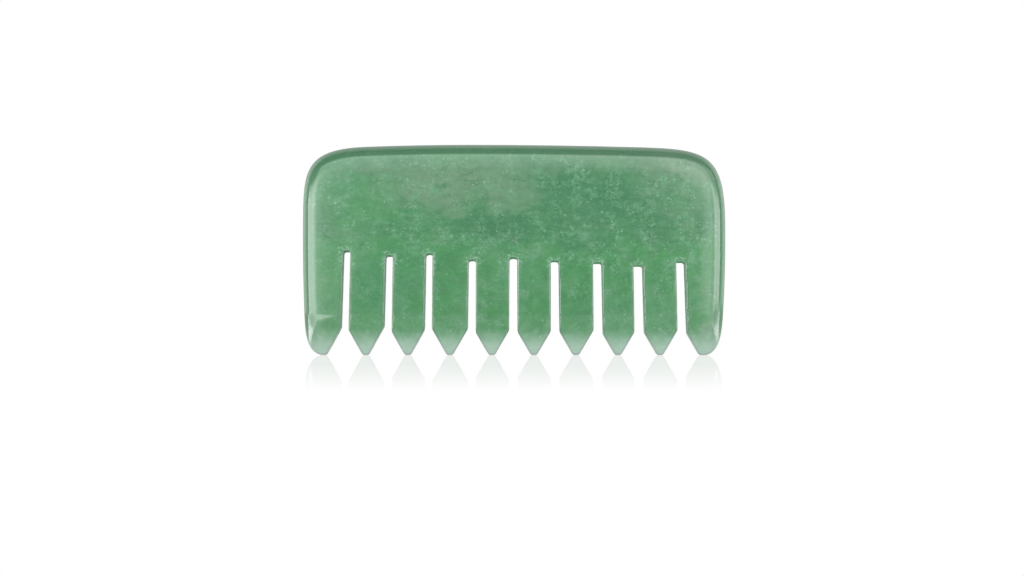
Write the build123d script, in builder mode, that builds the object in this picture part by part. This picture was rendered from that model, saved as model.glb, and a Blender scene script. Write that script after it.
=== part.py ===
from build123d import *

import os
from math import radians, sqrt, tan

# A wide-tooth comb ground, sawn and tumble-polished from one slab of green stone. It stands on its
# tooth tips: X runs along the row of teeth, Y through the slab and Z up to the spine. The origin is
# on the surface it stands on, in the middle of the width and the thickness. Sizes are millimetres.

# Slab
WIDTH = 85.0
HEIGHT = 42.3
THICKNESS = 6.0
EDGE_ROUND = 2.75  # radius of the nearly full round along the whole outer edge
WIDEST_HEIGHT = 23.5  # the bowed sides are furthest apart here
CROWN_X = -9.0  # highest place of the crowned spine
ANKLE_HEIGHT = 8.2  # below this the sides turn in more and more towards the feet
TIP_DRESSING = 0.15  # ground off the round bottom edge to leave the tooth tips flat

# The hand-ground halves of the outline differ a little. In each, the ankle and the shoulder stand
# inside the widest place. The side turns into the bottom from the ankle and into the spine from
# shoulder_height on. The turns reach in along the bottom, and along the spine to where the crown has
# dropped a little. The tangents at the ends of each turn have these lengths.
LEFT_HALF = {
    "ankle_inset": 0.30,
    "foot_reach": 5.0,
    "ankle_tangent": 5.0,
    "foot_tangent": 4.0,
    "shoulder_inset": 0.05,
    "shoulder_height": 29.3,
    "turn_reach": 12.6,
    "crown_drop": 0.40,
    "side_tangent": 8.4,
    "spine_tangent": 11.4,
}
RIGHT_HALF = {
    "ankle_inset": 0.46,
    "foot_reach": 4.8,
    "ankle_tangent": 3.5,
    "foot_tangent": 3.8,
    "shoulder_inset": 0.05,
    "shoulder_height": 27.8,
    "turn_reach": 17.9,
    "crown_drop": 0.47,
    "side_tangent": 13.2,
    "spine_tangent": 13.4,
}

# Below this height both faces curve in towards the tips, so that the teeth slide through hair
TAPER_START = 8.2
TIP_THICKNESS = 1.9

# Gaps: a wide mouth with straight flanks that narrows into one saw cut
TOOTH_COUNT = 10
TOOTH_PITCH = 8.45
FIRST_GAP_X = -34.05
MOUTH_HALF_WIDTH = 3.62
FLANK_CORNER_RADIUS = 1.1
TIP_CORNER_RADIUS = 0.4
CUT_START_HEIGHT = 5.0  # the cuts turn about this height as they fan out
CUT_OVERLAP = 1.0  # how far below that height a cut reaches into its mouth
CUT_FAN = 1.6  # degrees by which the outermost cuts lean towards the middle of the spine
CUT_FLARE = 0.22  # a cut is this much wider at its mouth than at its closed end
BLADE_RADIUS = 50.0
BLADE_OFFSET = 3.5  # the centre of the saw blade stands this far in front of the mid-plane

# Mouths and cuts were made one at a time by hand. The slopes of the flanks and the heights and
# widths of the cuts are slightly uneven, and most cuts missed the middle of their mouth a little.
MOUTH_HALF_ANGLES = (28.3, 28.5, 29.0, 30.0, 30.0, 30.0, 30.0, 29.7, 29.2)
CUT_SHIFTS = (0.05, 0.25, -0.10, 0.20, 0.10, 0.05, 0.25, 0.05, 0.20)
CUT_TOPS = (21.05, 20.15, 20.5, 19.25, 19.7, 19.05, 18.7, 18.15, 18.9)
CUT_WIDTHS = (1.40, 1.40, 1.30, 1.40, 1.45, 1.55, 1.70, 1.85, 1.75)

GAP_COUNT = TOOTH_COUNT - 1
TAPER_REACH = TAPER_START / sqrt(1 - (TIP_THICKNESS / THICKNESS) ** 2)
CLEAR = THICKNESS  # how far each cutting shape reaches past the stone
NEAR = 0.1  # for finding a corner by its place


def draw_half(
    side,
    ankle_inset,
    foot_reach,
    ankle_tangent,
    foot_tangent,
    shoulder_inset,
    shoulder_height,
    turn_reach,
    crown_drop,
    side_tangent,
    spine_tangent,
):
    """Draws the bottom, foot, side, shoulder and spine of one half. side is -1 on the left, 1 on the right."""
    widest = (side * WIDTH / 2, WIDEST_HEIGHT)
    ankle = (side * (WIDTH / 2 - ankle_inset), ANKLE_HEIGHT)
    foot_x = side * (WIDTH / 2 - foot_reach)
    shoulder = (side * (WIDTH / 2 - shoulder_inset), shoulder_height)
    spine_end = (side * (WIDTH / 2 - turn_reach), HEIGHT - crown_drop)
    bottom = Line((CROWN_X, -TIP_DRESSING), (foot_x, -TIP_DRESSING))
    lower_side = TangentArc(widest, ankle, tangent=(0, -1))
    Bezier(
        lower_side @ 1,
        lower_side @ 1 + ankle_tangent * (lower_side % 1),
        bottom @ 1 + foot_tangent * (bottom % 1),
        bottom @ 1,
    )
    upper_side = TangentArc(widest, shoulder, tangent=(0, 1))
    spine = TangentArc((CROWN_X, HEIGHT), spine_end, tangent=(side, 0))
    Bezier(
        upper_side @ 1,
        upper_side @ 1 + side_tangent * (upper_side % 1),
        spine @ 1 + spine_tangent * (spine % 1),
        spine @ 1,
    )


def make_gap(index):
    """The space between two teeth: the mouth, then the saw cut up to the rim of the blade."""
    gap_x = FIRST_GAP_X + index * TOOTH_PITCH
    apex = MOUTH_HALF_WIDTH / tan(radians(MOUTH_HALF_ANGLES[index]))  # height where the flanks would meet
    lean = CUT_FAN * (2 * index / (GAP_COUNT - 1) - 1)
    top_half = CUT_WIDTHS[index] / 2
    bottom_half = top_half + CUT_FLARE / 2
    floor_half = TOOTH_PITCH * 0.55  # below the tips, neighbouring gaps overlap
    with BuildPart() as gap:
        with BuildSketch(Plane.XZ) as front:
            with Locations((gap_x, 0)):
                Polygon(
                    (-floor_half, -CLEAR),
                    (floor_half, -CLEAR),
                    (floor_half, 0),
                    (MOUTH_HALF_WIDTH, 0),
                    (0, apex),
                    (-MOUTH_HALF_WIDTH, 0),
                    (-floor_half, 0),
                    align=None,
                )
            with Locations((gap_x + CUT_SHIFTS[index], CUT_START_HEIGHT)):
                Polygon(
                    (-bottom_half, -CUT_OVERLAP),
                    (bottom_half, -CUT_OVERLAP),
                    (top_half, CUT_TOPS[index]),
                    (-top_half, CUT_TOPS[index]),
                    rotation=lean,
                    align=None,
                )
            tip_corners = front.vertices().filter_by(
                lambda v: abs(v.Y) < NEAR and abs(abs(v.X - gap_x) - MOUTH_HALF_WIDTH) < NEAR
            )
            fillet(tip_corners, TIP_CORNER_RADIUS)
            flank_corners = front.vertices().filter_by_position(Axis.Y, apex / 2, apex)
            fillet(flank_corners, FLANK_CORNER_RADIUS)
        extrude(amount=CLEAR, both=True)
        with BuildSketch(Plane.YZ):
            with Locations((-BLADE_OFFSET, CUT_TOPS[index] - BLADE_RADIUS)):
                Circle(BLADE_RADIUS)
        extrude(amount=WIDTH, both=True, mode=Mode.INTERSECT)
    return gap.part


gaps = [make_gap(index) for index in range(GAP_COUNT)]

with BuildPart() as comb:
    # Slab with its outer edge fully rounded
    with BuildSketch(Plane.XZ):
        with BuildLine():
            draw_half(-1, **LEFT_HALF)
            draw_half(1, **RIGHT_HALF)
        make_face()
    extrude(amount=THICKNESS / 2, both=True)
    fillet(edges().filter_by(Plane.XZ), EDGE_ROUND)

    # Faces closing towards the tips, and the tips dressed flat
    with BuildSketch(Plane.YZ):
        with Locations((0, TAPER_START)):
            Ellipse(THICKNESS / 2, TAPER_REACH)
            Rectangle(THICKNESS, HEIGHT, align=(Align.CENTER, Align.MIN))
        Rectangle(THICKNESS, CLEAR, align=(Align.CENTER, Align.MAX), mode=Mode.SUBTRACT)
    extrude(amount=WIDTH, both=True, mode=Mode.INTERSECT)

    for gap in gaps:
        add(gap, mode=Mode.SUBTRACT)

comb.part.label = "comb"
os.makedirs("parts", exist_ok=True)
export_step(comb.part, "parts/comb.step")
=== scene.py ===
from math import cos, radians, sin, tan, tau

import bmesh
import bpy
import numpy as np
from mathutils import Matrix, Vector
from mathutils.kdtree import KDTree


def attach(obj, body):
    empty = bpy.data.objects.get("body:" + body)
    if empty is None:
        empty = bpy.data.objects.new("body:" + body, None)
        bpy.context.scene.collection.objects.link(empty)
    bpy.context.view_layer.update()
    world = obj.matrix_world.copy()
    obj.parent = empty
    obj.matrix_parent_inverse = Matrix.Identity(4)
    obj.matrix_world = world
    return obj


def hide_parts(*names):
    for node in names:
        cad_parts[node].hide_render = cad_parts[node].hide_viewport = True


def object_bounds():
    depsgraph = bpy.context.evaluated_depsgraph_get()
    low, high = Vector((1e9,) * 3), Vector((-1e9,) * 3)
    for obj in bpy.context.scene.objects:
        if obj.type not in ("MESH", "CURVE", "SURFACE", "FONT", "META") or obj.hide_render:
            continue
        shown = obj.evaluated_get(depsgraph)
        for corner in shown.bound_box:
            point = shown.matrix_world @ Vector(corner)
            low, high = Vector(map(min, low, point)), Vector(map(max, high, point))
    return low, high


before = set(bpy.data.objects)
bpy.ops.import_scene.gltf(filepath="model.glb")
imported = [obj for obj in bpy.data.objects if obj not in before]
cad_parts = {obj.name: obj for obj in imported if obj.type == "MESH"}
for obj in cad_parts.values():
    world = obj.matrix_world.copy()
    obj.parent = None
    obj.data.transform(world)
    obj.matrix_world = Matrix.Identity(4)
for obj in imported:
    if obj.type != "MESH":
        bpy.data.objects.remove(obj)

# A comb sawn and polished from one slab of green aventurine stands on its tooth tips on a white,
# slightly glossy studio table. Metres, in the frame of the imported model: X runs along the row of
# teeth, -Y points at the camera and Z points up.

MM = 0.001
cad_low, cad_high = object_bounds()
CENTRE_X = (cad_low.x + cad_high.x) / 2
WIDTH = cad_high.x - cad_low.x
HEIGHT = cad_high.z - cad_low.z
THICKNESS = cad_high.y - cad_low.y
FRONT_Y = cad_low.y

# ---------------------------------------------------------------- the stone's mesh

WELD_DISTANCE = 0.0002 * MM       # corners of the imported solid's triangles that are closer are one
VOXEL = 0.2 * MM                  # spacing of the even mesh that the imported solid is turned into
WEAR_PASSES = 5                   # smoothing that rounds the sawn edges by about 0.2 mm
TRIANGLE_LIMIT = 190_000

RIM_REACH = 5.5 * MM              # how far in from the outline the faces keep falling away
RIM_FALL = 0.07                   # share of the half thickness lost at the outline
WAVE_HEIGHT = 0.012 * MM          # unevenness that hand polishing leaves in the faces
WAVES = (                         # length as a share of the width, heading in degrees, phase in turns
    (0.31, 12, 0.10),
    (0.22, 67, 0.45),
    (0.17, 118, 0.80),
    (0.12, 155, 0.25),
)

WALL_SLOPE = 0.2                  # the normal of a wall points along Y by less than this
OUTER_SIDE = 0.445 * WIDTH        # walls further out than this, or higher than OUTER_HEIGHT,
OUTER_HEIGHT = 0.55 * HEIGHT      # belong to the outline, and the others to the sawn gaps
SAWN_SLOPE = 0.625                # a sawn wall ends where the normal points along Y by more than this
SAWN_DEPTH = 0.3 * MM             # a sawn wall is at most this far from a gap, seen from the front
SAWN_CLEARANCE = 1.0 * MM         # and at least this far from the outline


def read_vectors(items, attribute, count):
    values = np.empty(count * 3)
    items.foreach_get(attribute, values)
    return values.reshape(count, 3)


def bake_modifiers(piece):
    """Replaces the piece's mesh by what its modifiers make of it."""
    bpy.context.view_layer.update()
    finished = bpy.data.meshes.new_from_object(
        piece.evaluated_get(bpy.context.evaluated_depsgraph_get())
    )
    piece.modifiers.clear()
    piece.data = finished


def outline_distances(mesh):
    """The vertices, their normals, and how far each lies from the outline and from the nearest gap."""
    count = len(mesh.vertices)
    points = read_vectors(mesh.vertices, "co", count)
    normals = read_vectors(mesh.vertex_normals, "vector", count)
    walls = np.abs(normals[:, 1]) < WALL_SLOPE
    outer = (np.abs(points[:, 0] - CENTRE_X) > OUTER_SIDE) | (points[:, 2] > OUTER_HEIGHT)
    distances = []
    for chosen in (walls & outer, walls & ~outer):
        tree = KDTree(int(chosen.sum()))
        for index, (x, _, z) in enumerate(points[chosen]):
            tree.insert((x, 0, z), index)
        tree.balance()
        distances.append(np.array([tree.find((x, 0, z))[2] for x, _, z in points]))
    return points, normals, distances[0], distances[1]


def polish_faces(mesh):
    """Hand-polished faces: they fall away gently towards the outline and wave very slightly."""
    points, _, rim, _ = outline_distances(mesh)
    fall = RIM_FALL * np.clip(1 - rim / RIM_REACH, 0, 1) ** 2
    wave = np.zeros(len(points))
    for length, heading, phase in WAVES:
        along = points[:, 0] * cos(radians(heading)) + points[:, 2] * sin(radians(heading))
        wave += np.sin(tau * (along / (length * WIDTH) + phase)) / len(WAVES)
    side = np.clip(points[:, 1] / (THICKNESS / 2), -1, 1)
    points[:, 1] *= 1 - fall
    points[:, 1] -= side * WAVE_HEIGHT * (1 + wave)
    mesh.vertices.foreach_set("co", points.ravel())
    mesh.update()


def store(mesh, name, values):
    mesh.attributes.new(name, "FLOAT", "POINT").data.foreach_set("value", values)


def make_stone():
    """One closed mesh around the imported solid, with worn edges, for the whole comb."""
    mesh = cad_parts["comb"].data.copy()
    welded = bmesh.new()
    welded.from_mesh(mesh)
    bmesh.ops.remove_doubles(welded, verts=welded.verts, dist=WELD_DISTANCE)
    welded.to_mesh(mesh)
    welded.free()
    mesh.materials.clear()
    stone = bpy.data.objects.new("comb_stone", mesh)
    bpy.context.scene.collection.objects.link(stone)

    even = stone.modifiers.new("even", "REMESH")
    even.mode = "VOXEL"
    even.voxel_size = VOXEL
    even.use_smooth_shade = True
    wear = stone.modifiers.new("wear", "SMOOTH")
    wear.factor = 0.5
    wear.iterations = WEAR_PASSES
    bake_modifiers(stone)
    polish_faces(stone.data)

    lighter = stone.modifiers.new("lighter", "DECIMATE")
    lighter.ratio = TRIANGLE_LIMIT / (2 * len(stone.data.polygons))
    bake_modifiers(stone)

    mesh = stone.data
    points, normals, rim, cut = outline_distances(mesh)
    store(mesh, "rim_mm", rim / MM)
    store(mesh, "cut_mm", cut / MM)
    upright = np.clip(1 - np.abs(normals[:, 1]) / SAWN_SLOPE, 0, 1)
    store(mesh, "sawn", upright * (cut < SAWN_DEPTH) * (rim > SAWN_CLEARANCE))
    return stone


# ---------------------------------------------------------------- node helpers


class Graph:
    """Adds nodes to one tree. An input is given as a plain value or as the output it is linked to."""

    def __init__(self, tree):
        self.tree = tree
        tree.nodes.clear()

    def add(self, kind, inputs=None, **settings):
        node = self.tree.nodes.new("ShaderNode" + kind)
        for name, value in settings.items():
            setattr(node, name, value)
        for name, value in (inputs or {}).items():
            if isinstance(value, bpy.types.NodeSocket):
                self.tree.links.new(value, node.inputs[name])
            else:
                node.inputs[name].default_value = value
        return node

    def math(self, operation, first, second=0.0):
        return self.add("Math", {0: first, 1: second}, operation=operation).outputs[0]

    def product(self, first, *others):
        for other in others:
            first = self.math("MULTIPLY", first, other)
        return first

    def ramp(self, value, start, end, low=0.0, high=1.0):
        """Rises smoothly from low to high as the value goes from start to end."""
        inputs = {"Value": value, "From Min": start, "From Max": end, "To Min": low, "To Max": high}
        return self.add("MapRange", inputs, interpolation_type="SMOOTHSTEP").outputs["Result"]

    def split(self, vector):
        """The vector's X, Y and Z."""
        return self.add("SeparateXYZ", {"Vector": vector}).outputs

    def stretch(self, vector, x, y, z):
        return self.add("VectorMath", {0: vector, 1: (x, y, z)}, operation="MULTIPLY").outputs[0]

    def displace(self, vector, offset, amount):
        """Adds the offset, multiplied by the amount, to the vector."""
        inputs = {0: offset, 1: (amount, amount, amount), 2: vector}
        return self.add("VectorMath", inputs, operation="MULTIPLY_ADD").outputs[0]

    def noise(self, vector, size, detail=2.0, roughness=0.5):
        """Cloudy noise whose lumps are about the given size in millimetres."""
        inputs = {"Vector": vector, "Scale": 1 / size, "Detail": detail, "Roughness": roughness}
        return self.add("TexNoise", inputs).outputs

    def blend(self, factor, first, second, blend_type="MIX"):
        node = self.add("Mix", data_type="RGBA", blend_type=blend_type)
        for index, value in ((0, factor), (6, first), (7, second)):
            if isinstance(value, bpy.types.NodeSocket):
                self.tree.links.new(value, node.inputs[index])
            else:
                node.inputs[index].default_value = (*value, 1) if index else value
        return node.outputs[2]


# ---------------------------------------------------------------- the stone's material

# The pattern is laid out in millimetres
CENTRE_MM = CENTRE_X / MM
WIDTH_MM = WIDTH / MM
HEIGHT_MM = HEIGHT / MM
THICKNESS_MM = THICKNESS / MM

# Linear colours. The ground and its clouds
DEEP = (0.069, 0.209, 0.107)
MIDDLE = (0.092, 0.239, 0.130)
LEAF = (0.083, 0.288, 0.109)
TEAL = (0.070, 0.237, 0.139)
MILKY = (0.177, 0.288, 0.192)
MIST = (0.300, 0.400, 0.300)

# Mottling and mica; LIT is also the painted light along the gaps' edges
LIT = (0.148, 0.333, 0.197)
DIM = (0.063, 0.184, 0.093)
FLAKE = (0.328, 0.604, 0.407)

# Painted light and shade at the borders, edges, tips and cuts
PAINTED_SIDE_LIGHT = (0.160, 0.350, 0.205)
PAINTED_SPINE_LIGHT = (0.220, 0.330, 0.238)
# painted shade on the rounded edge
PAINTED_RIM_SHADE = (0.048, 0.135, 0.072)
PAINTED_TIP_LIGHT = (0.420, 0.590, 0.490)
# painted light: the sawn walls and the closed ends are light greens against the shade inside the narrow
# gaps
SAWN_WALL_PAINTED_LIGHT = (0.480, 0.740, 0.560)
CUT_END_PAINTED_LIGHT = (0.320, 0.720, 0.420)
# painted shade along the edges of the gaps
PAINTED_GAP_EDGE_SHADE = (1.0, 0.84, 0.93)       # multiplies the colour

# Heights in mm at which a zone begins to show and at which it is full
LEAFY_HEIGHTS = (0.66 * HEIGHT_MM, 0.47 * HEIGHT_MM)
FLECKED_HEIGHTS = (0.35 * HEIGHT_MM, 0.60 * HEIGHT_MM)
SPINE_HEIGHTS = (0.71 * HEIGHT_MM, 0.83 * HEIGHT_MM)
TIP_HEIGHTS = (0.142 * HEIGHT_MM, 0.009 * HEIGHT_MM)
CHIPPED_HEIGHTS = (0.39 * HEIGHT_MM, 0.44 * HEIGHT_MM)
CUT_END_HEIGHTS = (0.28 * HEIGHT_MM, 0.35 * HEIGHT_MM)

# Distances in mm from the outline at which a border begins to show and at which it is full
PAINTED_SIDE_LIGHT_BAND = (4.6, 2.2)
PAINTED_SPINE_LIGHT_BAND = (6.0, 2.5)
PAINTED_RIM_SHADE_BAND = (2.3, 1.7)

# The same from a gap's wall
PAINTED_GAP_LIGHT_BAND = (1.1, 0.3)
CHIPPED_BAND = (1.3, 0.5)
PAINTED_GAP_EDGE_SHADE_BAND = (0.5, 0.15)

GROUND_SIZE = 9.0                   # sizes of lumps in mm
WARP_SIZE = 5.0
WARP_REACH = 9.0                    # how far the clouds' edges are pulled about
CLOUD_FADE = (1.35, 0.35)           # shares of a cloud's half sizes where it begins and where it is full
CLUSTER_SIZE = 3.6
CLUMP_SIZE = 0.9
FLAKE_SPACING = 2.2                 # of neighbouring flakes, as a multiple of their size
FRAY_SIZE = 0.5                     # of the raggedness of a flake, as a share of its size
STROKE_SPACING = 0.8
STROKE_LENGTH = 0.55
WISP_SIZE = 2.4
TIP_SIZE = 1.5
TIP_RAGGEDNESS = 1.6                # how far up and down the edge of the pale tips wanders
CHIP_SIZE = 0.6
SMEAR_SIZE = 3.0
GRAIN_SIZE = 0.35

POLISHED_ROUGHNESS = (0.06, 0.09)
SAWN_ROUGHNESS = 0.4
CUT_END_ROUGHNESS = 0.9
GRAIN_SHARE = 0.04                  # of the depth of the saw marks
SAW_MARK_DEPTH = 0.03 * MM

# Colour, place across and up, half width and half height, all as shares of the width and height,
# then the tilt in degrees and the strength
CLOUDS = (
    (LEAF, -0.34, 0.74, 0.12, 0.17, 0, 0.7),
    (MILKY, -0.15, 0.82, 0.17, 0.12, -6, 0.85),
    (MILKY, 0.00, 0.77, 0.08, 0.10, 10, 0.6),
    (MILKY, -0.04, 0.90, 0.22, 0.06, 0, 0.35),
    (MILKY, -0.32, 0.90, 0.07, 0.06, 0, 0.5),
    (MILKY, -0.14, 0.70, 0.07, 0.06, 0, 0.35),
    (DEEP, 0.21, 0.77, 0.15, 0.10, 14, 1.0),
    (LIT, 0.23, 0.91, 0.08, 0.05, 0, 0.3),
    (DEEP, -0.03, 0.60, 0.09, 0.09, 0, 1.0),
    (DEEP, 0.34, 0.60, 0.06, 0.09, 0, 0.6),
    (LEAF, -0.33, 0.60, 0.09, 0.10, 0, 0.5),
    (DEEP, 0.15, 0.54, 0.08, 0.08, 0, 0.7),
    (DIM, -0.05, 0.60, 0.05, 0.07, 0, 0.4),
    (DEEP, -0.33, 0.60, 0.05, 0.07, 0, 0.4),
    (MILKY, 0.37, 0.88, 0.10, 0.14, 0, 0.6),
    (TEAL, -0.30, 0.34, 0.10, 0.14, 0, 0.3),
    (LIT, 0.00, 0.36, 0.08, 0.12, 0, 0.2),
    (LIT, 0.26, 0.21, 0.15, 0.11, 0, 0.3),
    (MIST, 0.47, 0.09, 0.04, 0.09, 0, 0.7),
    (MIST, -0.47, 0.09, 0.04, 0.09, 0, 0.4),
    (MIST, 0.40, 0.91, 0.07, 0.07, 30, 0.55),
    (TEAL, -0.41, 0.86, 0.05, 0.10, -30, 0.5),
    (DEEP, 0.02, 0.60, 0.36, 0.06, 0, 0.3),
)

MOTTLES = (     # light tone, dark tone, lump size in mm, strength of each tone
    (MILKY, DEEP, 3.6, 0.32, 0.50),
    (LIT, DIM, 1.7, 0.65, 0.45),
    (LIT, DIM, 0.80, 0.55, 0.30),
    (LIT, DIM, 0.38, 0.35, 0.32),
)


def stone_clouds(graph, position, height):
    """Slow changes of tone deep in the stone: soft, warped blobs over a mottled ground.

    The ground is an even leaf green in the teeth, and duller and less even above them.
    """
    broad = graph.noise(position, GROUND_SIZE, detail=3.0)["Fac"]
    colour = graph.blend(graph.ramp(broad, 0.35, 0.65), DEEP, LEAF)
    colour = graph.blend(0.55, colour, MIDDLE)
    colour = graph.blend(graph.ramp(height, *LEAFY_HEIGHTS, high=0.85), colour, LEAF)
    lumps = graph.noise(position, WARP_SIZE, detail=4.0)["Color"]
    warp = graph.add("VectorMath", {0: lumps, 1: (0.5, 0.5, 0.5)}, operation="SUBTRACT").outputs[0]
    warped = graph.displace(position, warp, WARP_REACH)
    for tone, across, up, half_width, half_height, tilt, strength in CLOUDS:
        place = {
            "Vector": warped,
            "Location": (CENTRE_MM + across * WIDTH_MM, 0, up * HEIGHT_MM),
            "Rotation": (0, radians(tilt), 0),
            "Scale": (half_width * WIDTH_MM, 2 * THICKNESS_MM, half_height * HEIGHT_MM),
        }
        inside = graph.add("Mapping", place, vector_type="TEXTURE").outputs[0]
        reach = graph.add("VectorMath", {0: inside}, operation="LENGTH").outputs["Value"]
        colour = graph.blend(graph.ramp(reach, *CLOUD_FADE, high=strength), colour, tone)
    return colour


def stone_mottling(graph, position, clusters, colour):
    """Light and dark lumps at several sizes, drawn out a little along the nearly level bedding."""
    bedding = graph.stretch(position, 0.75, 0.75, 1.0)
    unevenness = graph.ramp(clusters, 0.0, 1.0, low=0.6, high=1.2)
    for light, dark, size, light_strength, dark_strength in MOTTLES:
        lumps = graph.noise(bedding, size, detail=2.0, roughness=0.6)["Fac"]
        lighter = graph.product(graph.ramp(lumps, 0.50, 0.72, high=light_strength), unevenness)
        darker = graph.product(graph.ramp(lumps, 0.50, 0.28, high=dark_strength), unevenness)
        colour = graph.blend(lighter, colour, light)
        colour = graph.blend(darker, colour, dark)
    drawn_out = graph.stretch(position, 0.3, 0.5, 1.0)
    wisps = graph.noise(drawn_out, WISP_SIZE, detail=5.0, roughness=0.65)["Fac"]
    return graph.blend(graph.ramp(wisps, 0.52, 0.72, high=0.24), colour, MILKY)


def stone_clusters(graph, position, across, height):
    """Where the mica lies thick: in ragged clusters, fewer of them in the teeth and on the left."""
    upper = graph.ramp(height, *FLECKED_HEIGHTS, low=0.55, high=1.0)
    rightward = graph.ramp(across, -0.35 * WIDTH_MM, 0.0, low=0.7, high=1.0)
    lumps = graph.noise(position, CLUSTER_SIZE, detail=4.0, roughness=0.65)["Fac"]
    return graph.product(graph.ramp(lumps, 0.42, 0.60), graph.product(upper, rightward))


def stone_clumps(graph, position, clusters):
    """Mica too fine to tell apart: soft ragged patches."""
    drawn_out = graph.stretch(position, 0.8, 0.8, 1.0)
    patches = graph.noise(drawn_out, CLUMP_SIZE, detail=4.0, roughness=0.75)["Fac"]
    return graph.product(graph.ramp(patches, 0.52, 0.68), clusters)


def stone_strokes(graph, position, clusters):
    """Mica flakes seen nearly edge on: short crooked strokes."""
    lines = graph.noise(position, STROKE_SPACING, detail=1.0)["Fac"]
    ridge = graph.ramp(graph.math("ABSOLUTE", graph.math("SUBTRACT", lines, 0.5)), 0.035, 0.0)
    broken = graph.ramp(graph.noise(position, STROKE_LENGTH, detail=1.0)["Fac"], 0.50, 0.62)
    return graph.product(ridge, broken, clusters)


def stone_flakes(graph, position, clusters, size, share):
    """Mica flakes seen flat: ragged spots about this size in mm, in a share of random cells."""
    fray = graph.noise(position, FRAY_SIZE * size, detail=1.0)["Color"]
    frayed = graph.displace(position, fray, size)
    cells = graph.add("TexVoronoi", {"Vector": frayed, "Scale": 1 / (FLAKE_SPACING * size)})
    chance = graph.add("SeparateColor", {"Color": cells.outputs["Color"]}).outputs
    radius = graph.ramp(chance["Red"], 0.0, 1.0, low=0.10, high=0.34)
    spot = graph.ramp(graph.math("SUBTRACT", radius, cells.outputs["Distance"]), -0.04, 0.12)
    present = graph.math("ADD", chance["Green"], graph.product(clusters, 0.5))
    present = graph.ramp(present, 1.35 - share, 1.5 - share)
    brightness = graph.ramp(chance["Blue"], 0.0, 1.0, low=0.35, high=1.0)
    return graph.product(spot, present, brightness)


def stone_mica(graph, position, clusters, colour):
    """All the mica, from its finest clumps to single flakes and strokes."""
    layers = (
        (stone_clumps(graph, position, clusters), 0.26),
        (stone_flakes(graph, position, clusters, 0.50, 0.55), 0.27),
        (stone_flakes(graph, position, clusters, 0.30, 0.50), 0.38),
        (stone_strokes(graph, position, clusters), 0.36),
    )
    for layer, strength in layers:
        colour = graph.blend(graph.product(layer, strength), colour, FLAKE)
    return colour


def stone_painted_border_light(graph, across, height, rim, colour):
    """Painted light: the stone is painted paler just inside the sides and the spine, for the light that
    enters through the rounded edge.
    """
    side_strength = graph.ramp(across, 0.0, 0.3 * WIDTH_MM, low=0.45, high=0.28)
    near_side = graph.product(graph.ramp(rim, *PAINTED_SIDE_LIGHT_BAND), side_strength)
    colour = graph.blend(near_side, colour, PAINTED_SIDE_LIGHT)
    spine_strength = graph.ramp(across, -0.05 * WIDTH_MM, 0.25 * WIDTH_MM, low=0.10, high=0.33)
    near_spine = graph.product(
        spine_strength,
        graph.ramp(rim, *PAINTED_SPINE_LIGHT_BAND),
        graph.ramp(height, *SPINE_HEIGHTS),
    )
    return graph.blend(near_spine, colour, PAINTED_SPINE_LIGHT)


def stone_painted_rim_shade(graph, rim, upward, colour):
    """Painted shade: the rounded edge is painted darker than the faces, and darkest where it faces up."""
    # painted shade: its share grows where the edge faces up
    depth = graph.ramp(upward, -0.1, 0.4, low=0.35, high=0.62)
    return graph.blend(graph.product(graph.ramp(rim, *PAINTED_RIM_SHADE_BAND), depth), colour, PAINTED_RIM_SHADE)


def stone_painted_tip_light(graph, position, height, colour):
    """Painted light: the thin tips are painted paler for the light that comes through them, up to a
    ragged edge.
    """
    lumps = graph.noise(position, TIP_SIZE, detail=3.0)["Fac"]
    wander = graph.math("SUBTRACT", graph.product(lumps, TIP_RAGGEDNESS), TIP_RAGGEDNESS / 2)
    tip = graph.ramp(graph.math("ADD", height, wander), *TIP_HEIGHTS)
    return graph.blend(graph.product(tip, 0.9), colour, PAINTED_TIP_LIGHT)


def stone_cuts(graph, position, height, cut, sawn, cut_end, colour):
    """Chipped stone beside the closed ends, then painted shade along the gaps' edges, then the sawn walls
    and the closed ends in light greens, painted light against the shade in the narrow gaps.
    """
    beside_cut_end = graph.product(graph.ramp(cut, *CHIPPED_BAND), graph.ramp(height, *CHIPPED_HEIGHTS))
    chips = graph.noise(position, CHIP_SIZE, detail=2.0)["Fac"]
    chipped = graph.product(beside_cut_end, graph.ramp(chips, 0.48, 0.62, high=0.45))
    colour = graph.blend(chipped, colour, FLAKE)
    # Painted shade: a darker line along the edges of the gaps.
    colour = graph.blend(graph.ramp(cut, *PAINTED_GAP_EDGE_SHADE_BAND), colour, PAINTED_GAP_EDGE_SHADE, blend_type="MULTIPLY")
    # Painted light: the sawn walls and the closed ends are coloured light to stand in for the light the
    # narrow gaps keep out.
    colour = graph.blend(graph.product(sawn, 0.7), colour, SAWN_WALL_PAINTED_LIGHT)
    return graph.blend(cut_end, colour, CUT_END_PAINTED_LIGHT)


def stone_roughness(graph, position, sawn, cut_end):
    """A slightly smeary polish, and matt sawn walls that are mattest at the closed ends."""
    low, high = POLISHED_ROUGHNESS
    smear = graph.noise(position, SMEAR_SIZE, detail=4.0, roughness=0.6)["Fac"]
    polish = graph.ramp(smear, 0.3, 0.7, low=low, high=high)
    matt = graph.ramp(cut_end, 0.0, 1.0, low=SAWN_ROUGHNESS, high=CUT_END_ROUGHNESS)
    return graph.math("ADD", polish, graph.product(sawn, matt))


def stone_relief(graph, position, sawn):
    """A trace of grain in the polish, and level saw marks on the sawn walls."""
    grain = graph.noise(position, GRAIN_SIZE, detail=3.0)["Fac"]
    wave = {"Vector": position, "Scale": 0.9, "Distortion": 1.5, "Detail": 2.0}
    saw_marks = graph.add("TexWave", wave, bands_direction="Z").outputs["Fac"]
    relief = graph.math("ADD", graph.product(grain, GRAIN_SHARE), graph.product(saw_marks, sawn))
    bump = {"Height": relief, "Strength": 0.5, "Distance": SAW_MARK_DEPTH}
    return graph.add("Bump", bump).outputs["Normal"]


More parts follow.
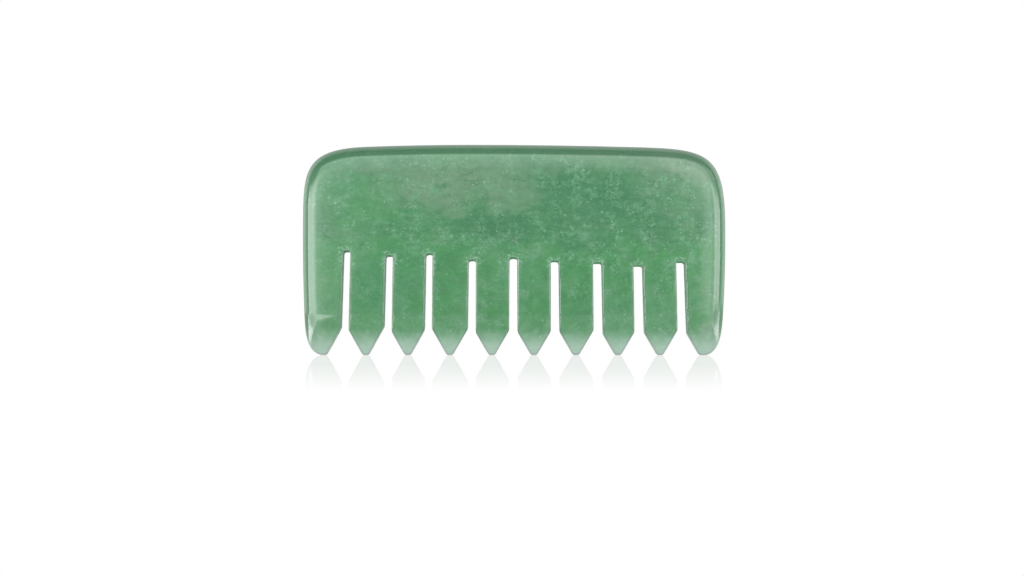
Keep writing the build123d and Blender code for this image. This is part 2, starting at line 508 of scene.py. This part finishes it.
def stone_material():
    """Polished green aventurine: cloudy, mottled and flecked inside, glossy outside, matt where sawn."""
    material = bpy.data.materials.new("green_aventurine")
    material.use_nodes = True
    graph = Graph(material.node_tree)
    metres = graph.add("TexCoord").outputs["Object"]
    position = graph.stretch(metres, 1 / MM, 1 / MM, 1 / MM)
    place = graph.split(position)
    across = graph.math("SUBTRACT", place["X"], CENTRE_MM)
    height = place["Z"]
    upward = graph.split(graph.add("NewGeometry").outputs["Normal"])["Z"]
    rim = graph.add("Attribute", attribute_name="rim_mm").outputs["Fac"]
    cut = graph.add("Attribute", attribute_name="cut_mm").outputs["Fac"]
    sawn = graph.add("Attribute", attribute_name="sawn").outputs["Fac"]
    clusters = stone_clusters(graph, position, across, height)
    cut_end = graph.product(graph.ramp(upward, -0.5, -0.8), graph.ramp(height, *CUT_END_HEIGHTS))

    colour = stone_clouds(graph, position, height)
    colour = stone_mottling(graph, position, clusters, colour)
    colour = stone_painted_border_light(graph, across, height, rim, colour)
    colour = stone_mica(graph, position, clusters, colour)
    colour = stone_painted_rim_shade(graph, rim, upward, colour)
    # Painted light: a lighter band along the edges of the gaps.
    colour = graph.blend(graph.ramp(cut, *PAINTED_GAP_LIGHT_BAND, high=0.25), colour, LIT)
    colour = stone_painted_tip_light(graph, position, height, colour)
    colour = stone_cuts(graph, position, height, cut, sawn, cut_end, colour)

    shader = graph.add("BsdfPrincipled", {
        "Base Color": colour,
        "Roughness": stone_roughness(graph, position, sawn, cut_end),
        "IOR": 1.54,
        "Normal": stone_relief(graph, position, sawn),
    })
    out = graph.add("OutputMaterial", {"Surface": shader.outputs[0]})
    out.is_active_output = True
    return material


# ---------------------------------------------------------------- the studio

TABLE_HALF_SIZE = 2.6 * WIDTH
LIGHT_DISTANCE = 7 * WIDTH
REFLECTION_FULL = 0.7 * WIDTH     # the table's gloss begins to fade this far from the comb
REFLECTION_REACH = 2.1 * WIDTH    # and is gone here
REFLECTION_SHARE = 0.34

# Radiances that only the stone sees, where white to the camera is 1
ROOM_LIGHT = 0.06
CEILING_LIGHT = 1.15
SIDE_LIGHT = 2.00
BACKDROP_LIGHT = 0.50
TABLE_LIGHT = 0.60
TABLE_GLOSS = 26.0                # the softboxes mirrored in the table, at either side of the comb

CAMERA_DISTANCE = 6.028 * WIDTH   # from the comb's front face
CAMERA_HEIGHT = 0.319 * HEIGHT
CAMERA_SHIFT = -0.005 * WIDTH     # it stands slightly left of the comb's middle

# How bright each softbox's diffuser is, as pairs of place and share from one end to the other
LEFT_DIFFUSER = ((0.0, 1.0), (0.50, 1.0), (0.62, 0.85), (0.76, 0.58), (0.86, 0.30), (1.0, 0.15))
RIGHT_DIFFUSER = ((0.0, 0.08), (0.10, 0.50), (0.16, 0.30), (0.34, 0.35), (0.42, 1.0), (1.0, 1.0))
PANEL_DIFFUSER = ((0.0, 0.4), (1.0, 1.0))


def make_camera():
    """A level long lens at about a third of the comb's height, so the table is seen edge on."""
    data = bpy.data.cameras.new("camera")
    data.lens = 90.0
    data.sensor_width = 36.0
    data.clip_start = 0.01
    data.clip_end = 20.0
    camera = bpy.data.objects.new("camera", data)
    camera.location = (CENTRE_X + CAMERA_SHIFT, FRONT_Y - CAMERA_DISTANCE, CAMERA_HEIGHT)
    camera.rotation_euler = (radians(90), 0, 0)
    bpy.context.scene.collection.objects.link(camera)
    bpy.context.scene.camera = camera


def seen_directly(graph):
    """1 for the camera and for the table's mirror-sharp gloss, 0 for the light that reaches the stone."""
    path = graph.add("LightPath").outputs
    return graph.math("MAXIMUM", path["Is Camera Ray"], path["Is Singular Ray"])


def mirrored_softboxes(graph, place, grazing):
    """What the stone's gloss sees mirrored in the table: the softboxes, at either side of the comb only.

    They fade outwards, under and behind the comb, and in front of it, and are weaker on the right.
    """
    across = graph.math("SUBTRACT", place["X"], CENTRE_X)
    aside = graph.math("ABSOLUTE", graph.math("SUBTRACT", across, 0.01 * WIDTH))
    far_front = graph.ramp(place["Y"], -0.5 * WIDTH, -0.9 * WIDTH)
    right_front = graph.product(far_front, graph.ramp(across, 0.0, 0.2 * WIDTH, high=0.9))
    return graph.product(
        graph.ramp(aside, 0.50 * WIDTH, 0.65 * WIDTH, high=TABLE_GLOSS),
        grazing,
        graph.ramp(aside, 0.7 * WIDTH, 1.4 * WIDTH, low=1.0, high=0.5),
        graph.ramp(place["Y"], 0.09 * WIDTH, 0.0),
        graph.ramp(place["Y"], -0.50 * WIDTH, -0.16 * WIDTH, low=0.28, high=1.0),
        graph.ramp(across, 0.0, 0.3 * WIDTH, low=1.0, high=0.75),
        graph.math("SUBTRACT", 1.0, right_front),
        graph.add("LightPath").outputs["Is Glossy Ray"],
    )


def table_material():
    """Burnt-out white with a mirror-like gloss that fades away from the comb."""
    material = bpy.data.materials.new("white_table")
    material.use_nodes = True
    graph = Graph(material.node_tree)
    place = graph.split(graph.add("TexCoord").outputs["Object"])
    grazing = graph.add("Fresnel", {"IOR": 1.45}).outputs[0]
    fade = {
        "Value": graph.math("ABSOLUTE", place["Y"]),
        "From Min": REFLECTION_FULL,
        "From Max": REFLECTION_REACH,
        "To Min": 1.0,
        "To Max": 0.0,
    }
    near = graph.add("MapRange", fade).outputs["Result"]
    share = graph.product(near, grazing, REFLECTION_SHARE)
    lit = graph.math("ADD", mirrored_softboxes(graph, place, grazing), TABLE_LIGHT)
    strength = graph.add("Mix", {0: seen_directly(graph), 2: lit, 3: 1.0}).outputs[0]
    white = graph.add("Emission", {"Color": (1, 1, 1, 1), "Strength": strength}).outputs[0]
    mirror = graph.add("BsdfGlossy", {"Color": (1, 1, 1, 1), "Roughness": 0.0}).outputs[0]
    surface = graph.add("MixShader", {0: share, 1: white, 2: mirror}).outputs[0]
    graph.add("OutputMaterial", {"Surface": surface})
    return material


def make_table():
    mesh = bpy.data.meshes.new("table")
    plane = bmesh.new()
    bmesh.ops.create_grid(plane, x_segments=1, y_segments=1, size=TABLE_HALF_SIZE)
    plane.to_mesh(mesh)
    plane.free()
    mesh.materials.append(table_material())
    table = bpy.data.objects.new("table", mesh)
    bpy.context.scene.collection.objects.link(table)


def make_room():
    """White to the camera; to the stone dark in front, white at the sides and above, grey behind."""
    world = bpy.data.worlds.new("studio")
    bpy.context.scene.world = world
    world.use_nodes = True
    graph = Graph(world.node_tree)
    direction = graph.split(graph.add("TexCoord").outputs["Generated"])
    aside = graph.math("ABSOLUTE", direction["X"])
    white_walls = graph.ramp(aside, 0.3, 0.9, low=CEILING_LIGHT, high=SIDE_LIGHT)
    around = graph.product(white_walls, graph.ramp(direction["Y"], -0.15, 0.20))
    around = graph.math("MAXIMUM", around, ROOM_LIGHT)
    behind = graph.ramp(direction["Y"], 0.60, 0.90, low=SIDE_LIGHT, high=BACKDROP_LIGHT)
    around = graph.math("MINIMUM", around, behind)
    below = graph.ramp(direction["Z"], 0.0, -0.05, low=0.0, high=TABLE_LIGHT)
    surroundings = graph.math("MAXIMUM", around, below)
    strength = graph.add("Mix", {0: seen_directly(graph), 2: surroundings, 3: 1.0}).outputs[0]
    background = graph.add("Background", {"Color": (1, 1, 1, 1), "Strength": strength}).outputs[0]
    graph.add("OutputWorld", {"Surface": background})


def make_softbox(name, azimuth, elevation, radiance, stops, across=True):
    """A rectangular light aimed at the comb, seen from it between two azimuths and two elevations.

    Azimuth is measured in degrees from the camera's side towards +X. The stops run across the diffuser
    from one side to the other, and its upper half then fades to black, or they run from its bottom to
    its top.
    """
    turn = radians(sum(azimuth) / 2)
    rise = radians(sum(elevation) / 2)
    offset = Vector((sin(turn) * cos(rise), -cos(turn) * cos(rise), sin(rise))) * LIGHT_DISTANCE
    data = bpy.data.lights.new(name, "AREA")
    data.shape = "RECTANGLE"
    data.size = 2 * LIGHT_DISTANCE * tan(radians(azimuth[1] - azimuth[0]) / 2)
    data.size_y = 2 * LIGHT_DISTANCE * tan(radians(elevation[1] - elevation[0]) / 2)
    data.energy = 4 * radiance * data.size * data.size_y  # an area light shows a quarter of it per area
    data.use_nodes = True
    graph = Graph(data.node_tree)
    place = graph.split(graph.add("NewGeometry").outputs["Parametric"])
    diffuser = graph.add("ValToRGB", {"Fac": place["X" if across else "Y"]})
    ramp = diffuser.color_ramp
    ramp.interpolation = "EASE"
    for at, _ in stops[1:-1]:  # a new ramp already has its two ends
        ramp.elements.new(at)
    for element, (_, share) in zip(ramp.elements, stops):
        element.color = (share, share, share, 1)
    fading = graph.ramp(place["Y"], 1.0, 0.5) if across else 1.0
    emission = graph.add("Emission", {"Color": diffuser.outputs["Color"], "Strength": fading}).outputs[0]
    graph.add("OutputLight", {"Surface": emission})
    light = bpy.data.objects.new(name, data)
    light.location = Vector((CENTRE_X, 0, HEIGHT / 2)) + offset
    light.rotation_euler = (-offset).to_track_quat("-Z", "Y").to_euler()
    light.visible_camera = False
    bpy.context.scene.collection.objects.link(light)


def make_lights():
    make_softbox("left_softbox", (-78, -6), (-8, 15), 5.2, LEFT_DIFFUSER)
    make_softbox("right_softbox", (6, 76), (-8, 15), 4.2, RIGHT_DIFFUSER)
    make_softbox("front_panel", (-30, 66), (6, 43), 1.45, PANEL_DIFFUSER, across=False)


# ---------------------------------------------------------------- putting it together

make_camera()
make_room()
make_lights()
make_table()

comb_stone = make_stone()
comb_stone.data.materials.append(stone_material())
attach(comb_stone, "root")
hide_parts("comb")
bpy.context.scene.view_settings.view_transform = "Standard"
